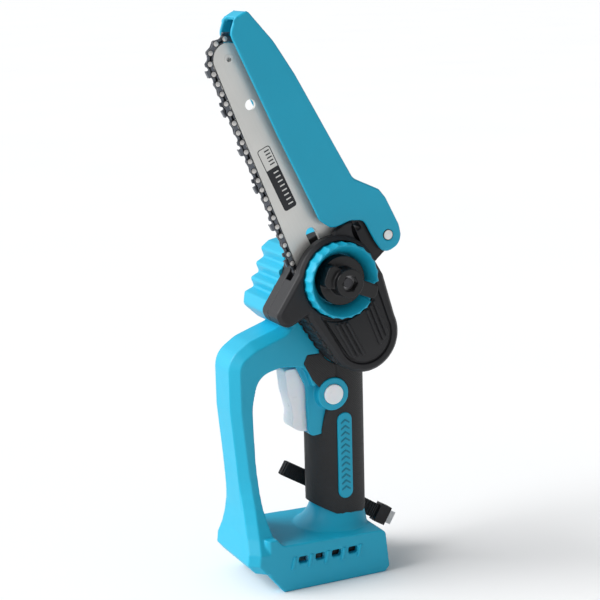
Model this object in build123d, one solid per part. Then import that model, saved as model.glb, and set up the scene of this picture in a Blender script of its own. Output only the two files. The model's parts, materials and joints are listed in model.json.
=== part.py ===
from build123d import *
import os
from math import asin, atan2, cos, degrees, hypot, pi, radians, sin

# Cordless pruning chainsaw, bare tool standing on its battery foot. Millimetres, +Z up.
# X runs from the hand guard (-X) to the back of the grip (+X); the bar side faces -Y.
# The saw is modelled with Y = 0 in the split of the handle shells and Z = 0 under the battery foot,
# then saved with its origin under the middle of its own bounding box.

# ---- driving dimensions ----
BAR_TILT = 25.1                  # lean of the bar from vertical, towards the hand guard
SPROCKET_X, SPROCKET_Z = 18.1, 163.9
CHAIN_W = 30.0                   # distance of the chain plane in front of the shell split
PITCH = 6.35                     # rivet spacing of a 1/4 inch chain
RIVETS = 74
NOSE_TEETH, DRIVE_TEETH = 6, 7
GEAR_TEETH, PINION_TEETH, MODULE = 30, 9, 1.0
STUD_U = 41.7                    # clamp stud, along the bar from the drive sprocket
GUARD_U, GUARD_V = 48.1, -42.8   # hinge of the chain guard
GRIP_X = 15.0
GRIP_A, GRIP_B = 20.3, 17.0      # half depth and half width of the grip
RUBBER = 2.0
FOOT_HALF = 32.0
CASE_BACK, CASE_SPLIT, COVER_FRONT = 16.0, 26.5, 42.0
RING_R, RING_BACK, RING_FRONT = 23.8, 36.3, 50.0
CAM_MID, CAM_LIFT, CAM_SWEEP = 15.0, 5.0, 300.0
MOTOR_U = MODULE * (GEAR_TEETH + PINION_TEETH) / 2
STATOR_R = 18.0
RUN = 0.05                       # radial clearance of a running fit
GAP = 0.3                        # clearance between moving faces

RIVET_R, LINK_T, STRAP_T, STRAP_MID = 1.0, 1.1, 0.9, 1.1
BAR_BACK, BAR_FRONT, GROOVE = 28.7, 31.3, 1.5
FOLLOWER_R, FOLLOWER_V = 1.5, 5.0
FOLLOWER_U = STUD_U + CAM_MID + GAP + FOLLOWER_R
CAM_TOP, CAVITY_TOP = 33.5, 33.8
STUD_R, PIVOT_R, SHAFT_R = 3.0, 3.0, 2.5
GUARD_NEAR, GUARD_FAR = 39.2, 20.8
KNOB_TURN = 222.0
BODY_HALF, FRAME_CHAMFER = 17.0, 5.7
COVER_CHAMFER = 2.2
SLOT_HALF, CHEEK_HALF = 8.0, 11.5    # trigger slot, and the shell's cheeks beside it
MIDDLE_X, MIDDLE_Y = -7.91, -11.75   # middle of the bounding box
VENT_X, VENT_Z = (-24.0, -12.2, -0.4, 11.4), 19.6
CASE_SCREWS = [(-17, -14), (-17, 14), (50, -18), (48.5, 6)]
PAD_SCREWS = [(26, -8), (26, 8), (54, -8), (54, 8)]
SHELL_SCREWS = [(-52.3, 60), (-56, 128), (-28, 155), (30, 196), (28, 158), (-48, 28)]
BUTTON_X, BUTTON_Z = 6.6, 121.6

NOSE_R = PITCH / (2 * sin(pi / (2 * NOSE_TEETH)))
DRIVE_R = PITCH / (2 * sin(pi / (2 * DRIVE_TEETH)))
BULGE_U, BULGE_V = 60.0, 19.7    # widest point of the chain loop

TILT = radians(BAR_TILT)
SIDE = Plane(origin=(0, 0, 0), x_dir=(1, 0, 0), z_dir=(0, -1, 0))
HEAD = Plane(
    origin=(SPROCKET_X, 0, SPROCKET_Z),
    x_dir=(-sin(TILT), 0, cos(TILT)),
    z_dir=(0, -1, 0),
)
BASE_ALIGN = (Align.CENTER, Align.CENTER, Align.MIN)


def save(node, *solids):
    to_origin = Pos(-MIDDLE_X, -MIDDLE_Y, 0)
    solids = [to_origin * s for part in solids for s in part.solids()]
    label = solids[0] if len(solids) == 1 else Compound(children=solids)
    label.label = node
    export_step(label, f"parts/{node}.step")


def flat(points, radius=0):
    return make_face(FilletPolyline(*points, radius=radius, close=True))


def slab(plane, sketch, w0, w1):
    return extrude(plane.offset(w0) * sketch, amount=w1 - w0)


def chamfered_end(plane, sketch, w, cut):
    """Layer above height w, on either side of the plane, whose edges slope inwards at 45 degrees."""
    way = 1 if w > 0 else -1
    return extrude(plane.offset(w) * sketch, amount=way * cut, taper=45)


def pin(plane, x, y, r, w0, w1):
    return plane * Pos(x, y, w0) * Cylinder(r, w1 - w0, align=BASE_ALIGN)


def block(x0, x1, y0, y1, z0, z1):
    return Pos(x0, y0, z0) * Box(x1 - x0, y1 - y0, z1 - z0, align=(Align.MIN,) * 3)


def head_box(u0, u1, v0, v1, w0, w1):
    return HEAD * Pos(u0, v0, w0) * Box(u1 - u0, v1 - v0, w1 - w0, align=(Align.MIN,) * 3)


def gear(teeth, module, bore, w0, w1):
    pitch_r = teeth * module / 2
    outer, root = pitch_r + 0.8 * module, pitch_r - 1.1 * module
    step = 2 * pi / teeth
    half = [(root - 0.5, 0.30), (root, 0.27), (pitch_r, 0.19), (outer, 0.09)]
    face = Circle(root)
    tooth = []
    for r, share in half:
        tooth.append((r * cos(share * step), -r * sin(share * step)))
    for r, share in reversed(half):
        tooth.append((r * cos(share * step), r * sin(share * step)))
    blank = make_face(Polyline(*tooth, close=True))
    for i in range(teeth):
        face += Rot(0, 0, degrees(i * step)) * blank
    face -= Circle(bore)
    return Pos(0, 0, w0) * extrude(face, amount=w1 - w0)


def spring(radius, wire, pitch, height):
    path = Helix(pitch=pitch, height=height, radius=radius)
    start = Plane(origin=path @ 0, z_dir=path % 0)
    return sweep(start * Circle(wire), path=path)


# ---- chain loop: rivet places in the head plane, s counted from the back of the sprocket ----
ARC_DRIVE = PITCH * DRIVE_TEETH / pi      # chain length per radian round each wheel
ARC_NOSE = PITCH * NOSE_TEETH / pi


def straight(radius, reach):
    """Slope and length of the run from a wheel to the widest point of the loop."""
    far = hypot(reach, BULGE_V)
    return atan2(BULGE_V, reach) - asin(radius / far), (far**2 - radius**2) ** 0.5


def half_loop(nose_u):
    """Lengths of the sprocket arc, the two runs and the nose arc on one side."""
    lift, rise = straight(DRIVE_R, BULGE_U)
    fall, run = straight(NOSE_R, nose_u - BULGE_U)
    return (pi / 2 - lift) * ARC_DRIVE, rise, run, (pi / 2 - fall) * ARC_NOSE


def solve_nose():
    """Distance from sprocket to nose that makes the loop a whole number of links."""
    low, high = 180.0, 205.0
    for _ in range(60):
        middle = (low + high) / 2
        if 2 * sum(half_loop(middle)) < RIVETS * PITCH:
            low = middle
        else:
            high = middle
    return low


NOSE_U = solve_nose()


def loop_point(s):
    total = RIVETS * PITCH
    s, side = s % total, 1
    if s > total / 2:
        s, side = total - s, -1
    lift = straight(DRIVE_R, BULGE_U)[0]
    fall = straight(NOSE_R, NOSE_U - BULGE_U)[0]
    back, rise, run, _ = half_loop(NOSE_U)
    if s < back:
        angle = pi - s / ARC_DRIVE
        u, v = DRIVE_R * cos(angle), DRIVE_R * sin(angle)
    elif s < back + rise:
        t = (s - back) / rise
        u = t * BULGE_U - (1 - t) * DRIVE_R * sin(lift)
        v = t * BULGE_V + (1 - t) * DRIVE_R * cos(lift)
    elif s < back + rise + run:
        t = (s - back - rise) / run
        u = (1 - t) * BULGE_U + t * (NOSE_U + NOSE_R * sin(fall))
        v = (1 - t) * BULGE_V + t * NOSE_R * cos(fall)
    else:
        angle = (total / 2 - s) / ARC_NOSE
        u, v = NOSE_U + NOSE_R * cos(angle), NOSE_R * sin(angle)
    return u, side * v


def link_place(i):
    """Place of the link between rivets i and i + 1, its y axis pointing out of the loop."""
    (u0, v0), (u1, v1) = loop_point((i + 0.5) * PITCH), loop_point((i + 1.5) * PITCH)
    turn = degrees(atan2(v1 - v0, u1 - u0))
    return HEAD * Pos((u0 + u1) / 2, (v0 + v1) / 2) * Rot(0, 0, turn), hypot(u1 - u0, v1 - v0)


def link_blank(chord, height):
    blank = SlotCenterToCenter(chord, height)
    for x in (-chord / 2, chord / 2):
        blank -= Pos(x, 0) * Circle(RIVET_R)
    return blank


def drive_links():
    tang = flat([(-2.1, 0), (2.1, 0), (1.1, -5.2), (-0.7, -5.2)])
    links = []
    for i in range(0, RIVETS, 2):
        place, chord = link_place(i)
        face = SlotCenterToCenter(chord, 3.8) + tang
        for x in (-chord / 2, chord / 2):
            face -= Pos(x, 0) * Circle(RIVET_R)
        links.append(place * Pos(0, 0, CHAIN_W - LINK_T / 2) * extrude(face, amount=LINK_T))
    return links


def is_cutter(i):
    """Side that carries a cutter on tie link i: 1 near, -1 far, 0 neither."""
    return {1: 1, 5: -1}.get(i % 8, 0)


def tie_straps():
    straps = []
    for i in range(1, RIVETS, 2):
        place, chord = link_place(i)
        for side in (1, -1):
            if is_cutter(i) == side:
                continue
            w = CHAIN_W + side * STRAP_MID - STRAP_T / 2
            straps.append(place * Pos(0, 0, w) * extrude(link_blank(chord, 3.8), amount=STRAP_T))
    return straps


def cutters():
    teeth = []
    for i in range(1, RIVETS, 2):
        side = is_cutter(i)
        if not side:
            continue
        place, chord = link_place(i)
        plate = flat([(-4.2, 0.6), (4.6, 0.6), (5.2, 3.9), (2.2, 4.1), (1.6, 1.9), (0.4, 1.9),
                      (0.2, 4.5), (-4.9, 4.0)])
        side_plate = link_blank(chord, 3.8) + plate
        for x in (-chord / 2, chord / 2):
            side_plate -= Pos(x, 0) * Circle(RIVET_R)
        w = CHAIN_W + side * STRAP_MID - STRAP_T / 2
        tooth = extrude(Pos(0, 0, w) * side_plate, amount=STRAP_T)
        top_w = CHAIN_W - 0.2 if side > 0 else CHAIN_W - 2.7
        tooth += Pos(-4.8, 3.7, top_w) * Box(4.9, 0.8, 2.9, align=(Align.MIN,) * 3)
        teeth.append(place * tooth)
    return teeth


def chain_rivets():
    pins = []
    for i in range(RIVETS):
        u, v = loop_point((i + 0.5) * PITCH)
        pins.append(pin(HEAD, u, v, RIVET_R, CHAIN_W - 1.9, CHAIN_W + 1.9))
    return pins


def sprocket(teeth, core_r, tip_r, bore, phase, w0, w1):
    """Spur wheel whose gaps take the drive links; one gap is centred on the phase angle."""
    face = Circle(core_r)
    blank = flat([(core_r - 1, -1.7), (core_r - 1, 1.7), (tip_r, 1.8), (tip_r, -1.8)])
    for i in range(teeth):
        face += Rot(0, 0, phase + (i + 0.5) * 360 / teeth) * blank
    face -= Circle(bore)
    return Pos(0, 0, w0) * extrude(face, amount=w1 - w0)


def gap_angle(centre_u, s):
    """Angle, seen from a wheel's centre, of the middle of the drive link nearest length s."""
    i = 2 * round((s / PITCH - 1) / 2)
    u, v = loop_point((i + 1) * PITCH)
    return degrees(atan2(v, u - centre_u))


# ---- bar side ----
def bar_face(edge):
    """Outline of the bar, edge being its distance inside the rivet line."""
    nose_r, wide = NOSE_R - edge - 0.4, BULGE_V - edge
    far = hypot(NOSE_U - BULGE_U, wide)
    fall = atan2(wide, NOSE_U - BULGE_U) - asin(nose_r / far)
    tip_u, tip_v = NOSE_U + nose_r * sin(fall), nose_r * cos(fall)
    tail_u, tail_v = 17.9 + edge, 15.8 - edge
    half = [(tail_u, tail_v), (BULGE_U, wide), (tip_u, tip_v)]
    mirror = [(u, -v) for u, v in reversed(half)]
    return flat(half + mirror, [3, 60, 0, 0, 60, 3]) + Pos(NOSE_U, 0) * Circle(nose_r)


def guide_bar():
    full, core = bar_face(2.1), bar_face(5.9) - Pos(NOSE_U, 0) * Circle(9.9)
    bar = slab(HEAD, full, BAR_BACK, CHAIN_W - GROOVE / 2)
    bar += slab(HEAD, core, CHAIN_W - GROOVE / 2, CHAIN_W + GROOVE / 2)
    bar += slab(HEAD, full, CHAIN_W + GROOVE / 2, BAR_FRONT)
    slot = Pos(53.5, 0) * SlotOverall(47, 7)
    bar -= slab(HEAD, slot, BAR_BACK - 1, BAR_FRONT + 1)
    bar -= pin(HEAD, 162.9, 0, 3.3, BAR_BACK - 1, BAR_FRONT + 1)
    for v in (-FOLLOWER_V, FOLLOWER_V):
        bar -= pin(HEAD, FOLLOWER_U, v, 1, BAR_BACK - 1, BAR_FRONT + 1)
    return bar - pin(HEAD, NOSE_U, 0, 2, BAR_BACK - 1, BAR_FRONT + 1)


def bar_follower():
    plate = head_box(FOLLOWER_U - 2, FOLLOWER_U + 2, -7, 7, BAR_FRONT, BAR_FRONT + 0.8)
    plate += pin(HEAD, FOLLOWER_U, 0, FOLLOWER_R, BAR_FRONT, 33.3)
    for v in (-FOLLOWER_V, FOLLOWER_V):
        plate += pin(HEAD, FOLLOWER_U, v, 1, BAR_BACK, BAR_FRONT)
    return plate


def nose_rivet():
    rivet = pin(HEAD, NOSE_U, 0, 2, BAR_BACK - 0.25, BAR_FRONT + 0.25)
    for w in (BAR_BACK - 0.25, BAR_FRONT):
        rivet += pin(HEAD, NOSE_U, 0, 3, w, w + 0.25)
    return rivet


def spiral_face():
    """Snail cam: its radius falls steadily for a whole sweep, then steps back."""
    points = []
    for angle in range(-90, 219, 7):
        r = CAM_MID - CAM_LIFT * angle / CAM_SWEEP
        points.append((r * cos(radians(angle)), r * sin(radians(angle))))
    return make_face(Polyline(*points, close=True)) - Circle(8.2)


def tension_ring():
    centre = HEAD * Pos(STUD_U, 0)
    ring = pin(HEAD, STUD_U, 0, RING_R, RING_BACK, RING_FRONT)
    ring -= pin(HEAD, STUD_U, 0, 16, RING_BACK + 2.2, RING_FRONT + 1)
    ring += pin(HEAD, STUD_U, 0, 11.2, CAM_TOP, RING_BACK + 1)
    ring -= pin(HEAD, STUD_U, 0, 8.2, CAM_TOP - 1, RING_FRONT)
    for i in range(20):
        notch = Rot(0, 0, i * 18) * Pos(RING_R + 1.1, 0, RING_BACK - 1) * Cylinder(
            1.9, 20, align=BASE_ALIGN)
        ring -= centre * notch
    return ring


def clamp_knob():
    knob = pin(HEAD, STUD_U, 0, 15.4, RING_BACK + 2.6, 46)
    grip = flat([(-3.5, -4.5), (20.5, -4.5), (20.5, 4.5), (-3.5, 4.5)], [1, 3, 3, 1])
    wing = flat([(3.5, -4.5), (-15, -8), (-15, 8), (3.5, 4.5)], [1, 4, 4, 1])
    place = HEAD * Pos(STUD_U, 0) * Rot(0, 0, KNOB_TURN)
    knob += place * Pos(0, 0, 45) * extrude(wing, amount=8)
    knob += place * Pos(0, 0, RING_FRONT + 0.4) * extrude(grip, amount=5.6)
    knob += pin(HEAD, STUD_U, 0, 9, 45, 57)
    knob -= slab(HEAD, Pos(STUD_U, 0) * RegularPolygon(5.4, 6), 52, 58)
    return knob - pin(HEAD, STUD_U, 0, 5, 30, 52)


def knob_nut():
    nut = pin(HEAD, STUD_U, 0, 5, BAR_FRONT + 0.3, 52)
    nut += pin(HEAD, STUD_U, 0, 7.6, BAR_FRONT + 0.3, BAR_FRONT + 0.9)
    return nut - pin(HEAD, STUD_U, 0, STUD_R + RUN, 30, 60)


# ---- gear case and cover ----
def case_outline(inset=0.0):
    waist = flat([(0, 24 - inset), (28, 28.3 - inset), (STUD_U, 27 - inset),
                  (STUD_U, inset - 27), (28, inset - 28.3), (0, inset - 24)])
    return waist + Circle(24 - inset) + Pos(STUD_U, 0) * Circle(27 - inset)


def case_room():
    """Space of the gear case's back and its screws, kept clear by the parts behind it."""
    room = slab(HEAD, case_outline(-0.4), CASE_BACK - 0.1, 20)
    for u, v in CASE_SCREWS:
        room += pin(HEAD, u, v, 1.6, 11, 20)
    return room


def arm_outline():
    return flat([(31.5, 15), (31.5, 46.5), (43, 46.5), (62, 15)], [0, 7, 5, 0])


def stud_head():
    return Pos(STUD_U, 0) * RegularPolygon(5.5, 6)


def bracket_outline():
    """Lug that carries the guard's hinge, outside the chain's path."""
    web = flat([(69.5, -25.5), (69.5, -31), (61, -35), (52, GUARD_V - 6), (41, GUARD_V - 3),
                (36, -28), (48, -25.5)], [1, 3, 3, 0, 0, 0, 0])
    window = Pos(62.8, -27.8) * Rot(0, 0, 10) * RectangleRounded(5.4, 3.4, 1)
    return web + Pos(GUARD_U, GUARD_V) * Circle(8.6) - window


def gear_housing():
    case = slab(HEAD, case_outline(), CASE_BACK, CASE_SPLIT)
    case += slab(HEAD, arm_outline(), 18, CASE_SPLIT)
    case += slab(HEAD, bracket_outline(), 24, 35.7) - slab(HEAD, case_outline(-0.4), CASE_SPLIT, 36)
    case += slab(HEAD, flat([(40, -20), (62, -14), (62, -26.5), (40, -30)]), 24, CASE_SPLIT)
    chamber = Circle(17.6) + Pos(MOTOR_U, 0) * Circle(8)
    chamber += Pos(MOTOR_U / 2, 0) * Rectangle(MOTOR_U, 16)
    case -= slab(HEAD, chamber, CASE_BACK - 1, 22.8)
    case -= pin(HEAD, 0, 0, 8, 22.8, CASE_SPLIT)
    case -= pin(HEAD, STUD_U, 0, STUD_R, CASE_BACK - 1, CASE_SPLIT + 1)
    case -= slab(HEAD, stud_head(), CASE_BACK - 1, CASE_BACK + 2)
    case -= pin(HEAD, GUARD_U, GUARD_V, PIVOT_R, 20, 40)
    case -= pin(HEAD, GUARD_U, GUARD_V, 6.4, 23, 29)
    for u, v in CASE_SCREWS:
        case -= pin(HEAD, u, v, 1.5, CASE_BACK - 1, CASE_SPLIT + 1)
    return case


def cover_ear():
    """Small hook of the cover over the chain, beside the guard's hinge lug."""
    return flat([(56, -10), (68.5, -10), (69.5, -20), (68, -25), (66, -23), (62, -22), (56, -22)],
                [0, 3, 3, 1, 1, 2, 0])


def side_cover():
    outline = case_outline() + arm_outline()
    cover = slab(HEAD, outline, CASE_SPLIT, COVER_FRONT - COVER_CHAMFER)
    cover += chamfered_end(HEAD, outline, COVER_FRONT - COVER_CHAMFER, COVER_CHAMFER)
    cover += slab(HEAD, cover_ear(), CAVITY_TOP, COVER_FRONT - 3)
    cover -= pin(HEAD, STUD_U, 0, RING_R + 0.4, RING_BACK - 0.3, COVER_FRONT + 1)
    cover -= slab(HEAD, case_outline(2.5), CASE_SPLIT - 1, CAVITY_TOP)
    cover -= pin(HEAD, 0, 0, 21.5, CAVITY_TOP - 1, 39.5)
    cover -= pin(HEAD, STUD_U, 0, 11.5, CASE_SPLIT, RING_BACK)
    cover -= head_box(45, 75, -26, 26, CASE_SPLIT - 1, CAVITY_TOP)
    return cover - slab(HEAD, panel_outline(0), 40.5, COVER_FRONT + 1)


def panel_outline(inset):
    shape = Circle(18.5 - inset) + flat([(0, 18.5 - inset), (30, 21.5 - inset),
                                         (30, inset - 21.5), (0, inset - 18.5)])
    return shape - Pos(STUD_U, 0) * Circle(RING_R + 1.4 + inset)


def cover_panel():
    panel = slab(HEAD, panel_outline(0.4), 40.5, 42)
    for v in (-14, -11, -8, 8, 11, 14):
        panel += head_box(-9, 16, v - 0.6, v + 0.6, 41.9, 42.4)
    return panel & slab(HEAD, panel_outline(0.4), 40.5, 43)


def bar_pad():
    outline = flat([(20.5, -13), (20.5, 13), (62, 14), (62, -14)], 3)
    pad = slab(HEAD, outline, CASE_SPLIT, BAR_BACK - 0.1)
    for u, v in PAD_SCREWS:
        pad -= pin(HEAD, u, v, 1.5, CASE_SPLIT - 1, BAR_BACK)
    return pad - pin(HEAD, STUD_U, 0, STUD_R, CASE_SPLIT - 1, BAR_BACK + 1)


def bar_stud():
    shank = pin(HEAD, STUD_U, 0, STUD_R, CASE_BACK + 1, 54)
    return shank + slab(HEAD, stud_head(), CASE_BACK, CASE_BACK + 2)


# ---- chain guard ----
def guard_outline():
    points = [(207.5, -4.6), (214.5, -11.5), (215, -20.5), (191, -27.6), (167, -31.2),
              (118, -35.2), (92, -37.4), (77, -50), (70, -51.8), (GUARD_U + 2, -52.6),
              (GUARD_U - 9.8, -50), (GUARD_U - 9.8, -35), (GUARD_U + 2, -33),
              (65, -32.2), (69.5, -24), (71, -11), (80, -5.8), (140, -4.6)]
    radii = [8, 4, 3, 40, 40, 60, 8, 4, 4, 9, 9, 7, 6, 6, 4, 8, 8, 60]
    return flat(points, radii)


def chain_guard():
    outline = guard_outline()
    edge = flat([(222, -12.5), (222, -60), (64, -60), (64, -47.5), (84, -38.5), (120, -30),
                 (195, -20), (206, -12.5)])
    spine = (outline - offset(outline, -2.2)) & edge
    guard = slab(HEAD, outline, GUARD_NEAR - 2.3, GUARD_NEAR)
    guard += slab(HEAD, outline, GUARD_FAR, GUARD_FAR + 2.3)
    guard += slab(HEAD, spine, GUARD_FAR, GUARD_NEAR)
    return guard - pin(HEAD, GUARD_U, GUARD_V, PIVOT_R + RUN, 19, 41)


# ---- drive train ----
def motor_stator():
    face = Circle(STATOR_R) - Circle(STATOR_R - 3.2)
    for i in range(6):
        face += Rot(0, 0, i * 60) * Pos(12.9, 0) * Rectangle(5.4, 4)
        face += Rot(0, 0, i * 60) * Pos(10.6, 0) * Rectangle(1.2, 8)
    return slab(HEAD, Pos(MOTOR_U, 0) * face, -14, 6)


def stator_windings():
    coils = []
    for i in range(6):
        outer = Box(2.6, 7.6, 26) - Box(4, 4.1, 20.2)
        place = HEAD * Pos(MOTOR_U, 0, -4) * Rot(0, 0, i * 60) * Pos(12.7, 0)
        coils.append(place * outer)
    return coils


def rotor_magnets():
    face = Circle(9.4) - Circle(8)
    for i in range(4):
        face -= Rot(0, 0, i * 90) * Pos(8.7, 0) * Rectangle(3, 1.4)
    return slab(HEAD, Pos(MOTOR_U, 0) * face, -14, 6).solids()


def cooling_fan():
    face = Circle(5)
    for i in range(9):
        face += Rot(0, 0, i * 40) * Pos(10, 0) * Rot(0, 0, 25) * Rectangle(13, 1.2)
    face -= Circle(SHAFT_R)
    return slab(HEAD, Pos(MOTOR_U, 0) * face, -26, -19)


def ball_bearing(u, outer, inner, w0, w1):
    ring = pin(HEAD, u, 0, outer, w0, w1)
    return ring - pin(HEAD, u, 0, inner + RUN, w0 - 1, w1 + 1)


# ---- handle shells ----
def frame_outline():
    """Hand guard and upper body seen from the side, with the hand hole filled."""
    points = [(-57, 18), (-57.6, 52), (-60, 85), (-63, 118), (-63, 152), (-49, 161.5),
              (-26, 169.5), (-20, 186), (-12, 206), (-7, 222), (6, 229), (23, 220), (35, 203),
              (41.5, 182), (41.5, 158), (36, 150), (36, 18)]
    return flat(points, [0, 30, 60, 40, 16, 20, 6, 10, 10, 8, 12, 10, 12, 12, 8, 0, 0])


def hand_hole():
    """Opening between the hand guard and the grip, and what the grip takes the place of."""
    points = [(-7, 128), (-12, 141.5), (-28.8, 143.8), (-45, 140), (-49.8, 120), (-48.8, 84),
              (-46.2, 54), (-42, 38), (-42, 10), (60, 10), (60, 150), (9, 150), (3, 135)]
    return flat(points, [0, 8, 12, 14, 40, 40, 30, 8, 0, 0, 0, 4, 6])


def frame_body():
    outline, flat_half = frame_outline(), BODY_HALF - FRAME_CHAMFER
    frame = slab(SIDE, outline, -flat_half, flat_half)
    for w in (-flat_half, flat_half):
        frame += chamfered_end(SIDE, outline, w, FRAME_CHAMFER)
    return frame - slab(SIDE, hand_hole(), -20, 20)


def foot_profile():
    return flat([(-50, 14), (-49.5, 14), (-38.2, 0), (35, 0), (38.2, 3.5), (35.5, 29),
                 (-38, 31), (-42, 36), (-50, 36)], [0, 0, 1, 1, 1, 4, 6, 0, 0])


def guard_root():
    """Lower end of the hand guard, widening smoothly to the foot, with its front corners cut off."""
    levels = [(14, -55.5, -44), (20, -60.4, -42), (27, -59.6, -41.6), (36, -58.2, -42.4), (45, -57.7, -44.5),
              (54, -57.5, -46.2), (64, -58.2, -47.2), (74, -59.1, -48), (84, -60, -48.7)]
    cut, low, high = FRAME_CHAMFER + 0.3, 27, 84
    sections = []
    for z, front, back in levels:
        rise = min(1, max(0, (z - low) / (high - low)))
        half = BODY_HALF + (FOOT_HALF - BODY_HALF) * (1 - rise) ** 2.4
        corner = [(front, half - cut), (front + cut, half), (back, half)]
        mirror = [(x, -y) for x, y in reversed(corner)]
        sections.append(Pos(0, 0, z) * make_face(Polyline(*corner, *mirror, close=True)))
    return loft(sections, ruled=True)


def grip_column(inset, z0, z1):
    return Pos(GRIP_X, 0, z0) * extrude(Ellipse(GRIP_A - inset, GRIP_B - inset), amount=z1 - z0)


def foot_block():
    """Foot of the grip, with its front corners cut off."""
    foot = slab(SIDE, foot_profile(), -FOOT_HALF, FOOT_HALF)
    near = [(-49, FOOT_HALF - 2), (-46.8, FOOT_HALF), (45, FOOT_HALF)]
    plan = make_face(Polyline(*near, *[(x, -y) for x, y in reversed(near)], close=True))
    return foot & extrude(plan, amount=60)


def grip_skirt():
    """Smooth flare of the grip into the top of the foot."""
    levels = [(28.6, 8, 27, 27.5), (31, 11, 24.3, 22.5), (36, 13.6, 21, 18.4), (45, GRIP_X, 18, 14.8)]
    return loft([Pos(x, 0, z) * Ellipse(a, b) for z, x, a, b in levels])


def trigger_cheeks():
    """Shell on both sides of the trigger slot."""
    points = [(-16.6, 142), (-9.6, 127), (-8.8, 97.5), (-6.5, 93.6), (1.5, 94.2), (3, 108), (8, 131),
              (2, 142)]
    return slab(SIDE, flat(points, [0, 8, 3, 3, 2, 3, 2, 0]), -CHEEK_HALF, CHEEK_HALF)


def handle_outer():
    body = frame_body() + foot_block() + guard_root() + grip_skirt()
    body += grip_column(RUBBER, 30, 160) + trigger_cheeks()
    body += pin(SIDE, BUTTON_X, BUTTON_Z, 10.8, 8, 18)
    body += pin(HEAD, MOTOR_U, 0, 23.4, -33.5, -10)
    return body


def handle_hollows():
    """Motor bay, grip channel, foot bay, trigger slot and the pockets for bearings."""
    bay = pin(HEAD, MOTOR_U, 0, STATOR_R + 0.1, -14.1, 12.2)
    bay += pin(HEAD, MOTOR_U, 0, 20.4, -30.8, -14)
    bay += grip_column(4.6, 25, 150)
    bay += block(4, 26, -9, 9, 140, 165)
    for i in range(10):
        slot = Rot(0, 0, i * 36) * Pos(14, 0) * Box(8, 2.4, 8)
        bay += HEAD * Pos(MOTOR_U, 0, -34) * slot
    bay += block(-34, 34.2, -27.5, 27.5, 3.5, 26)
    bay += block(-50, 34.2, -24, 24, -1, 4)
    bay += block(-50, -33, -24, 24, -1, 13.8)
    bay += block(-24, 6.6, -SLOT_HALF, SLOT_HALF, 95.6, 141)
    bay += pin(SIDE, BUTTON_X, BUTTON_Z, 6.6, 9, 19)
    bay += slab(HEAD, case_outline(-0.2) + arm_outline(), CASE_BACK, 20)
    bay += pin(HEAD, 0, 0, 8, 13, 17)
    for u, v in CASE_SCREWS:
        bay += pin(HEAD, u, v, 1.5, 12, 17)
    bay += pin(HEAD, MOTOR_U, 0, 6.5, 12, 17)
    bay += pin(HEAD, MOTOR_U, 0, 6.5, -33, -30)
    for x in VENT_X:
        bay += block(x - 3.3, x + 3.3, -40, 40, VENT_Z - 2.2, VENT_Z + 2.2)
    for x, z in SHELL_SCREWS:
        bay += pin(SIDE, x, z, 1.5, -18, 12)
        bay += pin(SIDE, x, z, 3.2, -40, -12)
    return bay


def shell_screws():
    return [pin(SIDE, x, z, 1.5, -12, 12) + pin(SIDE, x, z, 3, -15, -12) for x, z in SHELL_SCREWS]


def grip_rubber():
    """Rubber sleeve of the grip; a tongue of it runs up on each side of the frame."""
    sleeve = grip_column(0, 34.5, 152) - grip_column(RUBBER, 30, 160)
    keep = flat([(-8, 48), (17, 35), (40, 39), (40, 152), (9, 152), (8, 130), (0, 96), (-8, 94)],
                [1, 6, 1, 1, 1, 1, 1, 1])
    sleeve &= slab(SIDE, keep, -20, 20)
    button = pin(SIDE, BUTTON_X, BUTTON_Z, 11, 0, 20)
    for part in (button, trigger_cheeks(), grip_skirt(), frame_body(), case_room()):
        sleeve -= part
    return sleeve


def rubber_tongue():
    return flat([(-13.7, 144.2), (-7.6, 132.6), (-3, 127), (8.6, 127), (8.6, 149.6), (-11, 149.6)],
                [1, 1, 0, 0, 0, 1])


def badge_face():
    return Pos(GRIP_X - 0.4, 79) * Rot(0, 0, 90) * SlotOverall(58, 10)


def bumper():
    teeth = [(-20.4, 219.6), (-26, 215.4), (-23.8, 209.5), (-30, 206), (-27.6, 199.8), (-34, 196.8),
             (-31.4, 190.8), (-38.2, 188), (-39.4, 180)]
    face = flat([(-29.5, 170.8), (-24, 168.5), (-17, 186), (-9, 206), (-9, 216), (-14, 221), *teeth],
                [2, 0, 0, 0, 0, 3, 1, 2, 1.6, 2, 1.6, 2, 1.6, 2, 4])
    comb = slab(SIDE, face, -17, 17.6) - frame_body()
    comb -= pin(HEAD, MOTOR_U, 0, 23.5, -20, -9)
    return comb - case_room()


# ---- grip contents, foot contents, strap ----
def trigger():
    blade = flat([(-22.5, 139), (-21, 124), (-17.5, 110), (-18.4, 100), (-12, 96.5), (-4, 96.5),
                  (-0.5, 104), (-0.5, 139)], [2, 20, 8, 4, 4, 3, 2, 2])
    body = slab(SIDE, blade, -7.2, 7.2)
    return body + Plane.YZ.offset(-1) * Pos(0, 115) * Cylinder(2.6, 12, align=BASE_ALIGN)


def switch_module():
    module = block(7, 24, -9.4, 9.4, 98, 136)
    module -= Plane.YZ.offset(6) * Pos(0, 115) * Cylinder(2.9, 13, align=BASE_ALIGN)
    return module - pin(SIDE, BUTTON_X, BUTTON_Z, 2.9, 6, 10)


def lock_button():
    cap = pin(SIDE, BUTTON_X, BUTTON_Z, 6.5, 13, 19.2)
    return cap + pin(SIDE, BUTTON_X, BUTTON_Z, 2.4, 10, 13)


def terminal_block():
    return block(-4, 20, -15, 15, 8, 16) + block(-10, 26, -27.5, 27.5, 16, 19.8)


def battery_terminals():
    return [block(-2, 15, y - 0.5, y + 0.5, 4.6, 8) for y in (-9, 0, 9)]


def board_heatsink():
    sink = block(-12, 22, -14, 14, 21.6, 22.6)
    for x in range(-11, 21, 4):
        sink += block(x, x + 1.2, -14, 14, 22.6, 25.6)
    return sink


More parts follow.
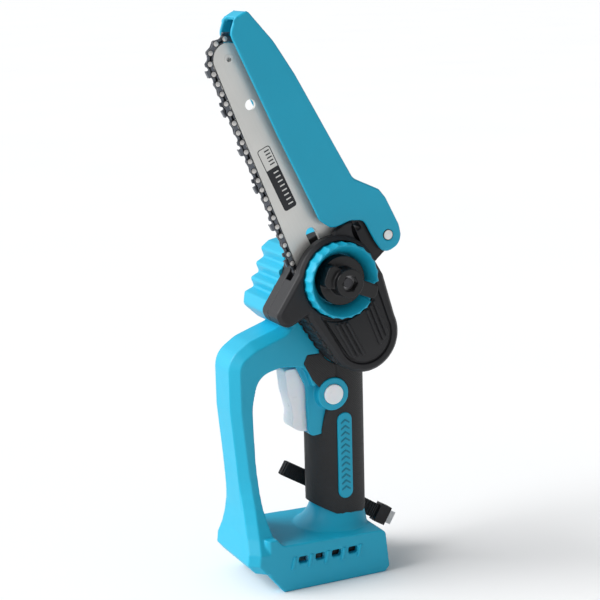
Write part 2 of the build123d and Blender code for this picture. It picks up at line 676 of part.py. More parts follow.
def wire_leads():
    leads = [Pos(x, 0, 26.2) * Cylinder(1.1, 71.6, align=BASE_ALIGN) for x in (9, 13, 17)]
    leads += [Pos(x, 0, 136.1) * Cylinder(1.1, 26, align=BASE_ALIGN) for x in (9, 13, 17)]
    return leads


STRAP = Plane(origin=(0, 0.4, 56.5), x_dir=(0.857, 0, -0.515), z_dir=(0.515, 0, 0.857))


def strap():
    """Two plies of webbing that pass behind the grip and meet at the adjuster."""
    run = [(-14, 18.9), (38, 18.9), (52, 6), (64, 6), (64, 9), (53, 9), (39, 22.6), (-14, 22.6)]
    outer = flat(run, [1.7, 10, 8, 0, 0, 10, 12, 1.7])
    gap = flat([(-12.3, 20.3), (37.6, 20.3), (38.6, 21.2), (-12.3, 21.2)], [0.4, 0, 0, 0.4])
    return extrude(STRAP.offset(-5) * (outer - gap), amount=10)


def strap_adjuster():
    return STRAP * Pos(62, 7.5, 0) * (Box(9, 7, 13) - Box(10, 3.02, 10.02))


def main():
    os.makedirs("parts", exist_ok=True)
    outer = handle_outer() - handle_hollows()
    rubber = grip_rubber()
    for w0, w1 in ((BODY_HALF - 0.6, BODY_HALF + 0.4), (-BODY_HALF - 0.4, 0.6 - BODY_HALF)):
        tongue = slab(SIDE, rubber_tongue(), w0, w1) - case_room()
        tongue -= pin(SIDE, BUTTON_X, BUTTON_Z, 11, 0, 20)
        tongue -= pin(HEAD, MOTOR_U, 0, 23.6, -34, -10)
        outer -= tongue
        rubber += tongue
    badge = slab(SIDE, badge_face(), 15.6, 17.6)
    rubber -= badge
    save("handle_shell_near", outer & block(-100, 100, -60, 0, -20, 300))
    save("handle_shell_far", outer & block(-100, 100, 0, 60, -20, 300))
    save("grip_rubber_near", rubber & block(-100, 100, -60, 0, 0, 300))
    save("grip_rubber_far", rubber & block(-100, 100, 0, 60, 0, 300))
    save("badge_plate", badge - grip_column(RUBBER, 30, 150))
    save("bumper", bumper())
    save("shell_screws", *shell_screws())
    save("gear_housing", gear_housing())
    save("case_screws", *[pin(HEAD, u, v, 1.5, 12, 26) for u, v in CASE_SCREWS])
    save("side_cover", side_cover())
    save("cover_panel", cover_panel())
    save("bar_pad", bar_pad())
    save("pad_screws", *[pin(HEAD, u, v, 1.5, CASE_SPLIT, 28.4) for u, v in PAD_SCREWS])
    save("bar_stud", bar_stud())

    save("guide_bar", guide_bar())
    save("bar_follower", bar_follower())
    save("nose_rivet", nose_rivet())
    phase = gap_angle(NOSE_U, RIVETS * PITCH / 2)
    wheel = sprocket(NOSE_TEETH, 5.4, 9.2, 2 + RUN, phase, CHAIN_W - 0.5, CHAIN_W + 0.5)
    save("nose_sprocket", HEAD * Pos(NOSE_U, 0) * wheel)
    save("chain_drive_links", *drive_links())
    save("chain_tie_straps", *tie_straps())
    save("chain_cutters", *cutters())
    save("chain_rivets", *chain_rivets())

    phase = gap_angle(0, 0)
    save("drive_sprocket", HEAD * sprocket(DRIVE_TEETH, 7.6, 11.3, 4, phase, 27.4, 32.6))
    save("output_shaft", pin(HEAD, 0, 0, 4, 13.1, 36))
    save("sprocket_clip", pin(HEAD, 0, 0, 6, 32.6, 33.6) - pin(HEAD, 0, 0, 4, 32, 34))
    save("output_gear", HEAD * gear(GEAR_TEETH, MODULE, 4, 17.2, 21.6))
    mesh = Rot(0, 0, 180 + 180 / PINION_TEETH)
    pinion = mesh * gear(PINION_TEETH, MODULE, SHAFT_R, 16.6, 22.2)
    save("motor_pinion", HEAD * Pos(MOTOR_U, 0) * pinion)
    save("motor_shaft", pin(HEAD, MOTOR_U, 0, SHAFT_R, -32.6, 22.4))
    save("motor_rotor", slab(HEAD, Pos(MOTOR_U, 0) * (Circle(8) - Circle(SHAFT_R)), -15, 7))
    save("rotor_magnets", *rotor_magnets())
    save("cooling_fan", cooling_fan())
    save("motor_stator", motor_stator())
    save("stator_windings", *stator_windings())
    save("motor_bearings", ball_bearing(MOTOR_U, 6.5, SHAFT_R, 12.5, 15.9),
         ball_bearing(MOTOR_U, 6.5, SHAFT_R, -33, -30))
    save("gear_bearings", ball_bearing(0, 8, 4, 22.9, 26.4), ball_bearing(0, 8, 4, 13, 15.9))

    save("tension_ring", tension_ring())
    save("tension_cam", HEAD * Pos(STUD_U, 0, CAM_TOP - 1.1) * extrude(spiral_face(), amount=1.1))
    save("clamp_knob", clamp_knob())
    save("knob_nut", knob_nut())

    save("chain_guard", chain_guard())
    save("guard_pin", pin(HEAD, GUARD_U, GUARD_V, PIVOT_R, 20.6, 39.4))
    save("guard_spring", HEAD * Pos(GUARD_U, GUARD_V, 24.8) * spring(4.8, 0.5, 1.2, 3.4))

    save("trigger", trigger())
    save("lock_button", lock_button())
    save("switch_module", switch_module())
    save("trigger_spring", Plane.YZ.offset(11.4) * Pos(0, 115) * spring(1.9, 0.35, 1.6, 6.6))
    save("lock_spring", SIDE * Pos(BUTTON_X, BUTTON_Z, 9.8) * spring(3.4, 0.3, 1.1, 2.6))
    save("terminal_block", terminal_block())
    save("battery_terminals", *battery_terminals())
    save("controller_board", block(-20, 28, -18, 18, 20, 21.6))
    save("board_heatsink", board_heatsink())
    save("wire_leads", *wire_leads())
    save("strap", strap())
    save("strap_adjuster", strap_adjuster())
    save("strap_tag", STRAP * Pos(68.5, 7.5, 0) * Box(8, 0.8, 9))


main()
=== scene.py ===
import json
from math import asin, atan2, cos, hypot, pi, radians, sin

import bmesh
import bpy
from mathutils import Matrix, Vector
from mathutils.geometry import tessellate_polygon


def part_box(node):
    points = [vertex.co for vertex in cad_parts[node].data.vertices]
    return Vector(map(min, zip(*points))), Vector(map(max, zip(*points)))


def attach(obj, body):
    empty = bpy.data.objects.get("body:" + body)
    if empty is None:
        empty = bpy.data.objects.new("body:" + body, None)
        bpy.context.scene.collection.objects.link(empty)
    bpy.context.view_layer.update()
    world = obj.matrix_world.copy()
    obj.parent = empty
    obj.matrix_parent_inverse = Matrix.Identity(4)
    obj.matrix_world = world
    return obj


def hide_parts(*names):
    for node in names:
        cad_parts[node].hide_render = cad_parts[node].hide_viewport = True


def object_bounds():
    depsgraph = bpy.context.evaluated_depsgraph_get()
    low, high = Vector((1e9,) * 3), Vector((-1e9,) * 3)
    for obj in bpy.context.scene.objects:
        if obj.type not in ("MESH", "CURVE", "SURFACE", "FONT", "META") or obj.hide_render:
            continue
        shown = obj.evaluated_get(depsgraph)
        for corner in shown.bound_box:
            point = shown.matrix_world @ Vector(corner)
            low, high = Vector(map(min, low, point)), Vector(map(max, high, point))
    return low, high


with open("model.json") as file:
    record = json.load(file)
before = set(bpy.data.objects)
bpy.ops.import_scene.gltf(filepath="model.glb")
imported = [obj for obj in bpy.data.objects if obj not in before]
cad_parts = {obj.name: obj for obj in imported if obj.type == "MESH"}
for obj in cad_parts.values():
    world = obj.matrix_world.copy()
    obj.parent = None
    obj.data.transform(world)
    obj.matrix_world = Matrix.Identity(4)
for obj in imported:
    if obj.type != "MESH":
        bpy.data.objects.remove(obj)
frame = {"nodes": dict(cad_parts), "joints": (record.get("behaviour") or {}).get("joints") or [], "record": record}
CAD_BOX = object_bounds()

bl_info = {
    "name": "Pruning saw looks",
    "version": (1, 0, 0),
    "blender": (4, 5, 0),
    "location": "3D View > Sidebar > Saw",
    "description": "Builds the finished surfaces of a cordless pruning saw round its CAD frame",
    "category": "Mesh",
}

MM = 0.001
JOINT = {joint["name"]: joint for joint in frame["joints"]}
SLOT_OF = {part["node"]: part["material_slot"] for part in frame["record"]["subparts"]}

# Head plane: u runs up the bar from the drive sprocket, v towards the bumper, w towards the chain side.
SPROCKET = Vector(JOINT["drive_spin"]["pos_m"]) / MM
BAR_WAY = Vector(JOINT["bar_slide"]["axis"]).normalized()
HEAD_V = Vector((-BAR_WAY.z, 0, BAR_WAY.x))
HEAD = Matrix((BAR_WAY, HEAD_V, Vector((0, -1, 0)))).transposed().to_4x4()
CHAIN_W = 30.0                   # from the split of the shells to the middle of the chain
SPLIT_Y = SPROCKET.y + CHAIN_W
HEAD.translation = (SPROCKET.x, SPLIT_Y, SPROCKET.z)
# Side plane: x runs to the back of the grip from the middle of the foot, y up and w towards the chain side.
SIDE = Matrix(((1, 0, 0), (0, 0, 1), (0, -1, 0))).transposed().to_4x4()
SIDE.translation = (SPROCKET.x - 18.1, SPLIT_Y, 0)

STUD_U = (Vector(JOINT["ring_turn"]["pos_m"]) / MM - SPROCKET).dot(BAR_WAY)
NOSE_U = (Vector(JOINT["nose_spin"]["pos_m"]) / MM - SPROCKET).dot(BAR_WAY)
PITCH, RIVETS = 6.35, 74
NOSE_TEETH, DRIVE_TEETH = 6, 7
NOSE_R = PITCH / (2 * sin(pi / (2 * NOSE_TEETH)))
DRIVE_R = PITCH / (2 * sin(pi / (2 * DRIVE_TEETH)))
BULGE_U, BULGE_V = 60.0, 19.7
RING_R, RING_BACK, RING_FRONT = 23.8, 36.3, 50.0
FINGER_WAY = radians(222)
COVER_FRONT = 42.0
BAR_FRONT = 31.3
VENTS_X, VENTS_Z, FOOT_HALF = (-24.0, -12.2, -0.4, 11.4), 19.6, 32.0


# ---------------------------------------------------------------- sizes and colours a user may change
def colour(name, value, about):
    return bpy.props.FloatVectorProperty(
        name=name, description=about, default=value, subtype="COLOR", size=3, min=0, max=1)


def length(name, value, about):
    return bpy.props.FloatProperty(name=name, description=about, default=value * MM, unit="LENGTH")


class SawColours(bpy.types.PropertyGroup):
    """Colours of the saw's plastics and metals."""
    shell: colour("Shell", (0.007, 0.372, 0.560), "Blue plastic of shells, guard and tension ring")
    case: colour("Case", (0.009, 0.009, 0.011), "Black plastic of the gear case, cover and knob")
    grip: colour("Grip", (0.023, 0.023, 0.024), "Rubber moulded round the grip")
    trigger: colour("Trigger", (0.90, 0.92, 0.97), "Milky plastic of trigger and lock button")
    bar: colour("Bar", (0.72, 0.71, 0.68), "Ground steel of the guide bar")
    chain: colour("Chain", (0.13, 0.14, 0.16), "Blued steel of the chain links")
    # the same ink also paints shade: dark rings round the rivet heads and the guard pin end
    print: colour("Print", (0.022, 0.023, 0.026), "Ink of the marks on the bar")


class SawSizes(bpy.types.PropertyGroup):
    """Sizes of the softened edges and small reliefs."""
    shell_voxel: length("Shell detail", 0.55, "Grid on which the shells' edges are softened")
    fine_voxel: length("Fine detail", 0.38, "Grid on which the small parts' edges are softened")
    ring_lobes: bpy.props.IntProperty(name="Ring scallops", description="Scallops round the ring", default=24)
    scallop: length("Scallop depth", 0.75, "Depth of each scallop")
    bumper_voxel: length("Bumper detail", 0.30, "Grid on which the bumper's teeth are softened")
    guard_lip: length("Guard lip", 0.8, "Width of the sloping lip round the chain guard's walls")
    rivet_head: length("Rivet head", 1.55, "Radius of the chain's rivet heads")


class SawStage(bpy.types.PropertyGroup):
    """Floor, light and camera."""
    azimuth: bpy.props.FloatProperty(
        name="Azimuth", description="Camera direction round the saw", default=radians(-25.2), subtype="ANGLE")
    elevation: bpy.props.FloatProperty(
        name="Elevation", description="Camera height angle", default=radians(12.4), subtype="ANGLE")
    roll: bpy.props.FloatProperty(
        name="Roll", description="Turn of the picture", default=radians(-1.5), subtype="ANGLE")
    distance: length("Distance", 990, "From the camera to the chain's plane")
    aim: bpy.props.FloatVectorProperty(
        name="Aim", description="Point in the middle of the view", default=(-0.01323, -0.01825, 0.189),
        subtype="TRANSLATION", unit="LENGTH")
    lens: bpy.props.FloatProperty(name="Lens", description="Focal length in millimetres", default=96)
    sky: bpy.props.FloatProperty(name="Sky", description="Strength of the light from all round", default=0.36)
    soft_box: bpy.props.FloatProperty(name="Soft box", description="Extra light from the left", default=1.6)
    sun: bpy.props.FloatProperty(name="Key light", description="Strength of the soft key light", default=2.6)


# ---------------------------------------------------------------- shader expressions
class Wire:
    """A shader socket that takes part in Python sums."""

    def __init__(self, web, socket):
        self.web, self.socket = web, socket

    def sum(self, operation, first, second=0.0):
        return self.web.node("ShaderNodeMath", {"operation": operation}, {0: first, 1: second})

    def __add__(self, other):
        return self.sum("ADD", self, other)

    def __sub__(self, other):
        return self.sum("SUBTRACT", self, other)

    def __rsub__(self, other):
        return self.sum("SUBTRACT", other, self)

    def __mul__(self, other):
        return self.sum("MULTIPLY", self, other)

    __radd__, __rmul__ = __add__, __mul__

    def above(self, edge):
        return self.sum("GREATER_THAN", self, edge)

    def sine(self):
        return self.sum("SINE", self)


class Web:
    """A node tree and its main shader."""

    def __init__(self, tree, shader):
        self.tree, self.shader = tree, tree.nodes[shader]

    def set(self, socket, value):
        if isinstance(value, Wire):
            self.tree.links.new(value.socket, self.shader.inputs[socket])
        else:
            self.shader.inputs[socket].default_value = value

    def node(self, kind, settings=(), sockets=(), out=0):
        made = self.tree.nodes.new(kind)
        for key, value in dict(settings).items():
            if key == "stops":
                for stop, (position, shade) in zip(made.color_ramp.elements, value):
                    stop.position, stop.color = position, (*shade, 1)
            else:
                setattr(made, key, value)
        for key, value in dict(sockets).items():
            if isinstance(value, Wire):
                self.tree.links.new(value.socket, made.inputs[key])
            else:
                made.inputs[key].default_value = value
        return Wire(self, made.outputs[out])


class Finish(Web):
    """A procedural material: one Principled shader and what feeds it."""

    def __init__(self, name, roughness, metallic=0.0, **constants):
        self.material = bpy.data.materials.new(name)
        self.material.use_nodes = True
        super().__init__(self.material.node_tree, "Principled BSDF")
        self.set("Roughness", roughness)
        self.set("Metallic", metallic)
        for socket, value in constants.items():
            self.set(socket.replace("_", " "), value)
        self.place = self.node("ShaderNodeTexCoord", out="Object")

    def noise(self, scale, detail=2.0, place=None, roughness=0.5):
        return self.node("ShaderNodeTexNoise", {}, {
            "Vector": place or self.place, "Scale": scale, "Detail": detail, "Roughness": roughness})

    def turned(self, angle, scale):
        """Object coordinates turned about Y and then stretched."""
        straight = self.node("ShaderNodeMapping", {}, {"Vector": self.place, "Rotation": (0, angle, 0)})
        return self.node("ShaderNodeMapping", {}, {"Vector": straight, "Scale": scale})

    def axes(self, place=None):
        split = self.node("ShaderNodeSeparateXYZ", {}, {0: place or self.place})
        return [Wire(self, out) for out in split.socket.node.outputs]

    def mix(self, factor, first, second):
        first, second = [c if isinstance(c, Wire) else (*c, 1) for c in (first, second)]
        return self.node("ShaderNodeMix", {"data_type": "RGBA"}, {0: factor, 6: first, 7: second}, out=2)

    def bump(self, height, distance):
        self.set("Normal", self.node("ShaderNodeBump", {}, {"Height": height, "Distance": distance}))


def shade(base, factor):
    return tuple(min(1.0, c * factor) for c in base)


def moulded_plastic(name, base, rough, grain, depth):
    """Injection-moulded plastic: spark-eroded grain, faint flow marks and a little handling shine."""
    it = Finish(name, rough, Specular_IOR_Level=0.38)
    flow = it.noise(22, 3)
    wear = it.noise(140, 4)
    it.set("Base Color", it.mix(flow, shade(base, 0.94), shade(base, 1.07)))
    it.set("Roughness", rough - 0.06 + flow * 0.06 + wear * 0.08)
    it.bump(it.noise(grain, 2) + wear * 0.15, depth)
    return it.material


def rubber(name, base):
    """Rubber with rows of fine raised dots."""
    it = Finish(name, 0.62, Specular_IOR_Level=0.35)
    x, y, z = it.axes()
    rows = (z * 3900).sine() * ((x - y) * 3900).sine()
    dust = it.noise(60, 3)
    it.set("Base Color", it.mix(dust, shade(base, 0.8), shade(base, 1.5)))
    it.set("Roughness", 0.52 + dust * 0.2)
    it.bump(rows + it.noise(2600) * 0.8, 0.00012)
    return it.material


def ground_steel(name, base, rough):
    """Steel ground along the bar, with faint marks left by handling."""
    it = Finish(name, rough, 0.55)
    lean = atan2(BAR_WAY.x, BAR_WAY.z)
    lines = it.noise(1, 3, it.turned(-lean, (2600, 2600, 26)))
    cloud = it.noise(35, 3)
    it.set("Base Color", it.mix(cloud * 0.5 + lines * 0.5, shade(base, 0.88), shade(base, 1.08)))
    it.set("Roughness", rough + lines * 0.14 - cloud * 0.05)
    it.bump(lines, 0.00001)
    return it.material


def plain_steel(name, base, rough, metallic=0.9, speck=900):
    """Turned or pressed steel with an oily, slightly uneven surface."""
    it = Finish(name, rough, metallic)
    film = it.noise(240, 4)
    it.set("Base Color", it.mix(film, shade(base, 0.72), shade(base, 1.25)))
    it.set("Roughness", rough - 0.08 + film * 0.2)
    it.bump(it.noise(speck, 3), 0.00004)
    return it.material


def milky_plastic(name, base):
    """Slightly clear white plastic."""
    it = Finish(name, 0.28, Subsurface_Weight=0.25, Subsurface_Scale=0.004, Coat_Weight=0.15)
    cloud = it.noise(45, 2)
    it.set("Base Color", it.mix(cloud, shade(base, 0.95), shade(base, 1.05)))
    it.set("Roughness", 0.24 + it.noise(300, 3) * 0.1)
    it.bump(it.noise(1800), 0.00001)
    return it.material


def wound_copper(name):
    """Enamelled copper wire laid in rows."""
    it = Finish(name, 0.3, 0.8)
    y = it.axes()[1]
    rows = (y * 5600).sine()
    it.set("Base Color", it.mix(rows * 0.3 + 0.5, (0.45, 0.17, 0.06), (0.86, 0.42, 0.18)))
    it.bump(rows, 0.0002)
    return it.material


def webbing(name, base):
    """Woven nylon tape: cross ribs with a lengthways twill."""
    it = Finish(name, 0.8, Sheen_Weight=0.15)
    x, y, z = it.axes()
    ribs = ((x - z * 0.6) * 3400).sine()
    twill = ((z + x * 0.6) * 5200 + (x - z * 0.6) * 1700).sine()
    # rib crests lighter and troughs darker with the ribs' relief: painted highlight and painted shade
    it.set("Base Color", it.mix(ribs * 0.5 + 0.5, shade(base, 0.5), shade(base, 1.6)))
    it.set("Roughness", 0.8 + it.noise(900) * 0.15)
    it.bump(ribs + twill * 0.4, 0.0003)
    return it.material


def woven_label(name):
    """Pale satin label tape."""
    it = Finish(name, 0.7)
    x, y, z = it.axes()
    weave = (x * 6000).sine() * (z * 6000).sine()
    it.set("Base Color", it.mix(weave * 0.5 + 0.5, (0.66, 0.67, 0.68), (0.86, 0.86, 0.86)))
    it.bump(weave, 0.00008)
    return it.material


def circuit_board(name):
    """Green lacquer over copper tracks."""
    it = Finish(name, 0.35, Coat_Weight=0.3)
    x, y, _ = it.axes()
    tracks = (x * 1500).sine().above(0.55) + (y * 1900).sine().above(0.7)
    spots = it.node("ShaderNodeTexVoronoi", {}, {"Vector": it.place, "Scale": 260})
    it.set("Base Color", it.mix(tracks * 0.6, (0.012, 0.11, 0.045), (0.03, 0.24, 0.09)))
    it.set("Roughness", 0.3 + spots * 0.2)
    it.bump(tracks, 0.00004)
    return it.material


FINISHES = {
    "teal_plastic": lambda c: moulded_plastic("shell_plastic", c.shell, 0.42, 2600, 0.00003),
    "black_plastic": lambda c: moulded_plastic("case_plastic", c.case, 0.46, 1900, 0.00006),
    "grip_rubber": lambda c: rubber("grip_rubber", c.grip),
    "bar_steel": lambda c: ground_steel("ground_bar_steel", c.bar, 0.34),
    "dark_steel": lambda c: plain_steel("blackened_steel", (0.06, 0.06, 0.065), 0.4, 0.8),
    "chain_steel": lambda c: plain_steel("chain_steel", c.chain, 0.38, 0.75),
    "rivet_steel": lambda c: plain_steel("rivet_steel", (0.62, 0.60, 0.58), 0.34, 0.55),
    "machine_steel": lambda c: plain_steel("machined_steel", (0.36, 0.36, 0.37), 0.34),
    "clear_white": lambda c: milky_plastic("milky_plastic", c.trigger),
    "copper_wire": lambda c: wound_copper("wound_copper"),
    "contact_brass": lambda c: plain_steel("contact_brass", (0.72, 0.52, 0.20), 0.28, 0.95),
    "aluminium": lambda c: plain_steel("pressed_aluminium", (0.70, 0.71, 0.73), 0.4),
    "webbing": lambda c: webbing("black_webbing", (0.016, 0.016, 0.017)),
    "tag_white": lambda c: woven_label("label_tape"),
    "board_green": lambda c: circuit_board("circuit_board"),
    "magnet": lambda c: plain_steel("magnet", (0.10, 0.10, 0.11), 0.45),
    # the bar's printed marks, and painted shade in dark rings round the rivet heads and guard pin end
    "print": lambda c: moulded_plastic("bar_print_and_painted_shade", c.print, 0.5, 3000, 0.00002),
    "knob": lambda c: moulded_plastic("knob_plastic", shade(c.case, 0.45), 0.30, 1500, 0.00004),
    # darker teal on the raised badge chevrons: painted shade standing in for the shading of their relief
    "relief": lambda c: moulded_plastic("relief_painted_shade", shade(c.shell, 0.5), 0.42, 2600, 0.00003),
    "pin_end": lambda c: plain_steel("pin_end", (0.85, 0.85, 0.84), 0.35, 0.2),
}
MADE = {}


def finish(slot):
    if slot not in MADE:
        MADE[slot] = FINISHES[slot](bpy.context.scene.saw_colours)
    return MADE[slot]


# ---------------------------------------------------------------- outlines and meshes, in millimetres
def rounded(points, radii, step=12):
    """Closed outline whose corners are arcs of the radii given."""
    if not hasattr(radii, "__len__"):
        radii = [radii] * len(points)
    outline, count = [], len(points)
    for i, radius in enumerate(radii):
        before, here, after = (Vector(points[(i + k) % count]) for k in (-1, 0, 1))
        way_in, way_out = (here - before).normalized(), (after - here).normalized()
        turn = way_in.angle_signed(way_out)
        if radius <= 0 or abs(turn) < 0.01:
            outline.append(here)
            continue
        bend = -turn
        reach = radius * abs(sin(bend / 2) / cos(bend / 2))
        reach = min(reach, 0.49 * (here - before).length, 0.49 * (after - here).length)
        radius = reach / abs(sin(bend / 2) / cos(bend / 2))
        side = 1 if bend > 0 else -1
        centre = here - way_in * reach + Vector((-way_in.y, way_in.x)) * radius * side
        start = here - way_in * reach - centre
        count_arc = max(2, int(abs(bend) / radians(step)) + 1)
        for k in range(count_arc + 1):
            a = bend * k / count_arc
            outline.append(centre + Vector((start.x * cos(a) - start.y * sin(a),
                                            start.x * sin(a) + start.y * cos(a))))
    return outline


def disc(u, v, radius, steps=40):
    return [Vector((u + radius * cos(2 * pi * i / steps), v + radius * sin(2 * pi * i / steps)))
            for i in range(steps)]


def shrink(loop, inset):
    """Loop moved inwards; a clockwise loop, being a hole, grows instead."""
    if not inset:
        return list(loop)
    moved, count = [], len(loop)
    for i, here in enumerate(loop):
        way_in = (here - loop[i - 1]).normalized()
        way_out = (loop[(i + 1) % count] - here).normalized()
        normal_in, normal_out = Vector((-way_in.y, way_in.x)), Vector((-way_out.y, way_out.x))
        spread = max(0.4, 1 + normal_in.dot(normal_out))
        moved.append(here + (normal_in + normal_out) / spread * inset)
    return moved


def slab(outline, levels, holes=()):
    """Points and faces of a solid swept through levels of (height, inset), capped at both ends."""
    loops = [list(outline)] + [list(reversed(hole)) for hole in holes]
    points, faces, base = [], [], 0
    size = sum(len(loop) for loop in loops)
    for height, inset in levels:
        for loop in loops:
            points += [(p.x, p.y, height) for p in shrink(loop, inset)]
    for level in range(len(levels) - 1):
        start = level * size
        for loop in loops:
            count = len(loop)
            for i in range(count):
                a, b = start + i, start + (i + 1) % count
                faces.append((a, b, b + size, a + size))
            start += count
    for level, flip in ((0, True), (len(levels) - 1, False)):
        flat = [[Vector((*points[level * size + i][:2], 0)) for i in part] for part in spans(loops)]
        for triangle in tessellate_polygon(flat):
            corners = [level * size + i for i in triangle]
            faces.append(tuple(reversed(corners)) if flip else tuple(corners))
    return points, faces


def spans(loops):
    start, parts = 0, []
    for loop in loops:
        parts.append(range(start, start + len(loop)))
        start += len(loop)
    return parts


def soft_levels(low, high, edge, back=None):
    """Levels of a slab whose front edge, and its back edge if asked, are rounded."""
    front = [(high - drop, edge - inset) for drop, inset in
             ((edge * (1 - sin(radians(a))), edge * cos(radians(a))) for a in (0, 22, 45, 68, 90))]
    bottom = [(low, 0)] if back is None else [
        (low + back * (1 - sin(radians(a))), back * (1 - cos(radians(a)))) for a in (90, 68, 45, 22, 0)][::-1]
    return bottom + front


def mesh_from(shapes, place):
    """One mesh of several (points, faces), put in place and scaled to metres."""
    points, faces = [], []
    for some_points, some_faces in shapes:
        start = len(points)
        points += [place @ Vector(p) * MM for p in some_points]
        faces += [tuple(start + i for i in face) for face in some_faces]
    mesh = bpy.data.meshes.new("shape")
    mesh.from_pydata(points, [], faces)
    shape = bmesh.new()
    shape.from_mesh(mesh)
    bmesh.ops.remove_doubles(shape, verts=shape.verts, dist=1e-7)
    bmesh.ops.recalc_face_normals(shape, faces=shape.faces)
    shape.to_mesh(mesh)
    shape.free()
    return mesh


def add_object(name, mesh):
    made = bpy.data.objects.new(name, mesh)
    bpy.context.scene.collection.objects.link(made)
    return made


def settle(made):
    """Turns an object's modifiers into its plain mesh."""
    bpy.context.view_layer.update()
    graph = bpy.context.evaluated_depsgraph_get()
    mesh = bpy.data.meshes.new_from_object(made.evaluated_get(graph), depsgraph=graph)
    made.modifiers.clear()
    made.data = mesh
    return made


def piece(name, mesh, slot, body, nodes=(), smooth=35, paint=None):
    """Names a finished mesh, gives it its material, hangs it under its body and hides the CAD nodes it stands for.
    """
    made = mesh if isinstance(mesh, bpy.types.Object) else add_object(name, mesh)
    made.name = made.data.name = name
    made.data.materials.clear()
    made.data.materials.append(finish(paint or slot))
    made.data.polygons.foreach_set("use_smooth", [True] * len(made.data.polygons))
    if smooth:
        made.data.set_sharp_from_angle(angle=radians(smooth))
    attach(made, body)
    if nodes:
        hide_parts(*nodes)
    return made


def cad_copy(node):
    """Merged copy of a CAD node's mesh."""
    shape = bmesh.new()
    shape.from_mesh(frame["nodes"][node].data)
    bmesh.ops.remove_doubles(shape, verts=shape.verts, dist=2e-6)
    mesh = bpy.data.meshes.new(node)
    shape.to_mesh(mesh)
    shape.free()
    return mesh


def soften(made, voxel, passes=4, triangles=150000):
    """Softens every edge by a voxel or two, as a mould does, and thins flat stretches."""
    remesh = made.modifiers.new("grid", "REMESH")
    remesh.mode, remesh.voxel_size = "VOXEL", voxel
    soft = made.modifiers.new("soft", "SMOOTH")
    soft.factor, soft.iterations = 0.5, passes
    settle(made)
    ratio = triangles / (2 * len(made.data.polygons))
    made.data.polygons.foreach_set("use_smooth", [True] * len(made.data.polygons))
    if ratio < 1:
        thin = made.modifiers.new("thin", "DECIMATE")
        thin.ratio = ratio
    weigh = made.modifiers.new("weigh", "WEIGHTED_NORMAL")
    weigh.mode, weigh.weight = "FACE_AREA", 60
    return settle(made)


def softened(node, body, voxel, passes=4, triangles=150000, name=None, paint=None, extra=None, lip=0.0):
    """The CAD node's shape with softened edges, standing in for it."""
    made = add_object(node, cad_copy(node))
    if lip:
        slope = made.modifiers.new("slope", "BEVEL")
        slope.limit_method, slope.angle_limit, slope.use_clamp_overlap = "ANGLE", radians(50), False
        slope.width, slope.segments = lip, 1
        settle(made)
    if extra:
        made = join(made, extra)
    soften(made, voxel, passes, triangles)
    return piece(name or node + "_finished", made, SLOT_OF[node], body, [node], smooth=0, paint=paint)


def join(made, shapes):
    """Adds meshes to an object, overlapping it."""
    shape = bmesh.new()
    shape.from_mesh(made.data)
    for extra in shapes:
        shape.from_mesh(extra)
    shape.to_mesh(made.data)
    shape.free()
    return made


# ---------------------------------------------------------------- repeats, by Geometry Nodes
def repeat_tree():
    """Tree that sets a shape on every point of a mesh, turned by the point's own angles."""
    tree = bpy.data.node_groups.get("repeat_shape")
    if tree:
        return tree
    tree = bpy.data.node_groups.new("repeat_shape", "GeometryNodeTree")
    for name, kind, way in (("Points", "NodeSocketGeometry", "INPUT"), ("Shape", "NodeSocketObject", "INPUT"),
                            ("Size", "NodeSocketFloat", "INPUT"), ("Finish", "NodeSocketMaterial", "INPUT"),
                            ("Pieces", "NodeSocketGeometry", "OUTPUT")):
        tree.interface.new_socket(name=name, in_out=way, socket_type=kind)
    add = tree.nodes.new
    start, end = add("NodeGroupInput"), add("NodeGroupOutput")
    shape, turn, spin = add("GeometryNodeObjectInfo"), add("GeometryNodeInputNamedAttribute"), add(
        "FunctionNodeEulerToRotation")
    turn.data_type = "FLOAT_VECTOR"
    turn.inputs["Name"].default_value = "aim"
    put, real, paint = add("GeometryNodeInstanceOnPoints"), add("GeometryNodeRealizeInstances"), add(
        "GeometryNodeSetMaterial")
    for out, into in ((start.outputs["Points"], put.inputs["Points"]),
                      (start.outputs["Shape"], shape.inputs["Object"]),
                      (shape.outputs["Geometry"], put.inputs["Instance"]),
                      (turn.outputs["Attribute"], spin.inputs[0]),
                      (spin.outputs[0], put.inputs["Rotation"]),
                      (start.outputs["Size"], put.inputs["Scale"]),
                      (put.outputs[0], real.inputs[0]),
                      (real.outputs[0], paint.inputs["Geometry"]),
                      (start.outputs["Finish"], paint.inputs["Material"]),
                      (paint.outputs[0], end.inputs[0])):
        tree.links.new(out, into)
    return tree


def repeat(name, shape, places, slot, body, nodes=(), smooth=35, paint=None):
    """A copy of the shape, in millimetres, at each place; all of them make one piece."""
    carrier = bpy.data.meshes.new(name + "_points")
    carrier.from_pydata([place.translation * MM for place in places], [], [])
    aim = carrier.attributes.new("aim", "FLOAT_VECTOR", "POINT")
    aim.data.foreach_set("vector", [a for place in places for a in place.to_euler()])
    made = add_object(name, carrier)
    model = add_object(name + "_shape", mesh_from(shape, Matrix.Identity(4)))
    nodes_mod = made.modifiers.new("repeat", "NODES")
    nodes_mod.node_group = repeat_tree()
    values = {"Shape": model, "Size": 1.0, "Finish": finish(paint or slot)}
    for socket in nodes_mod.node_group.interface.items_tree:
        if socket.name in values:
            nodes_mod[socket.identifier] = values[socket.name]
    settle(made)
    bpy.data.objects.remove(model)
    return piece(name, made, slot, body, nodes, smooth=smooth, paint=paint)


def at(plane, x, y, w, turn=0.0):
    return plane @ Matrix.Translation((x, y, w)) @ Matrix.Rotation(turn, 4, "Z")


# ---------------------------------------------------------------- chain path
def straight(radius, reach):
    far = hypot(reach, BULGE_V)
    return atan2(BULGE_V, reach) - asin(radius / far), (far**2 - radius**2) ** 0.5


